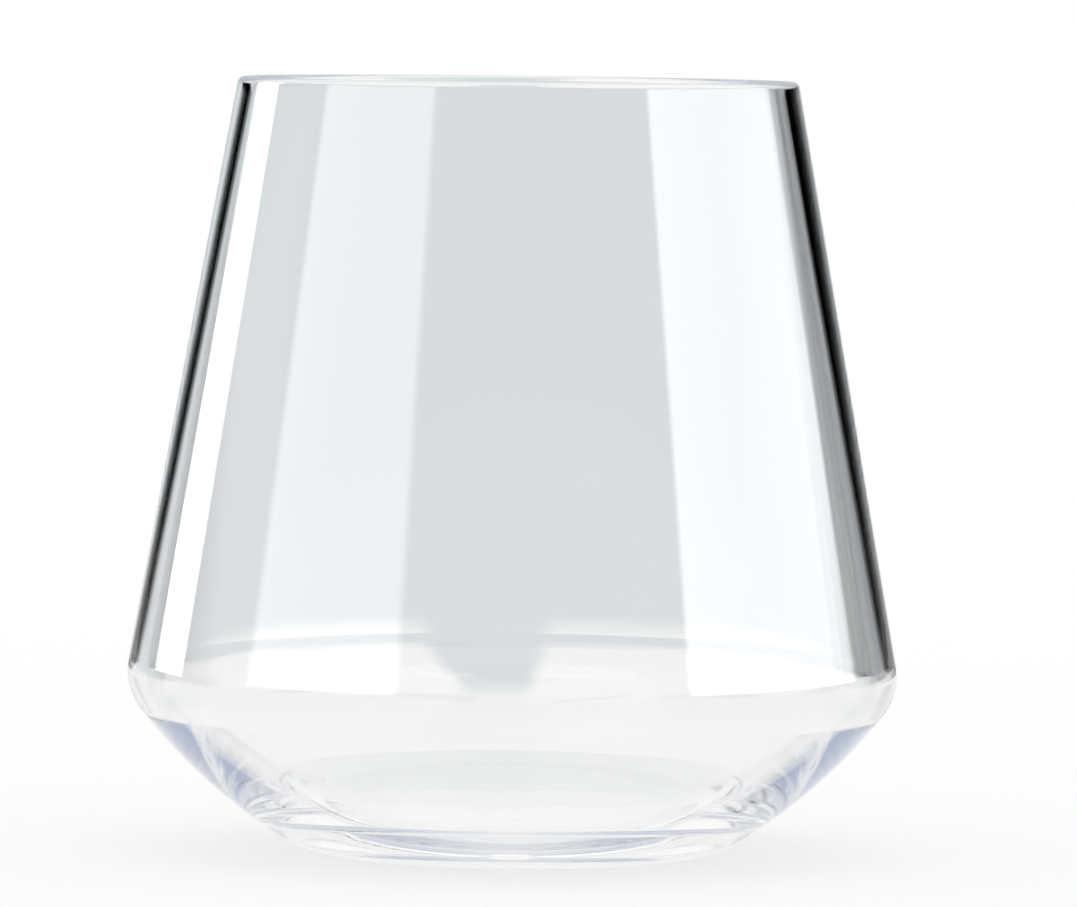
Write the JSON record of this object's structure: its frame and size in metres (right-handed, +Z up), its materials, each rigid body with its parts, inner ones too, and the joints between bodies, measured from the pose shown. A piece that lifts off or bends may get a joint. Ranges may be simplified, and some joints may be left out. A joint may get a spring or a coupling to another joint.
{
  "type": "stemless wine glass",
  "caption": "Stemless wine glass of clear glass: a straight wall widens from the rounded mouth to a low belly, then turns in to a thick base with a rounded heel, on a flat ring.",
  "frame": {"origin": "centre of the ring that the glass stands on, at table height", "axes": "+Z up along the axis of the glass, towards the mouth; X and Y are free, because the glass is round"},
  "size_m": [0.1, 0.1, 0.1005],
  "materials": {
    "clear_glass": "clear, fire-polished"
  },
  "bodies": {
    "root": {"glass_body": "clear_glass"}
  },
  "joints": []
}
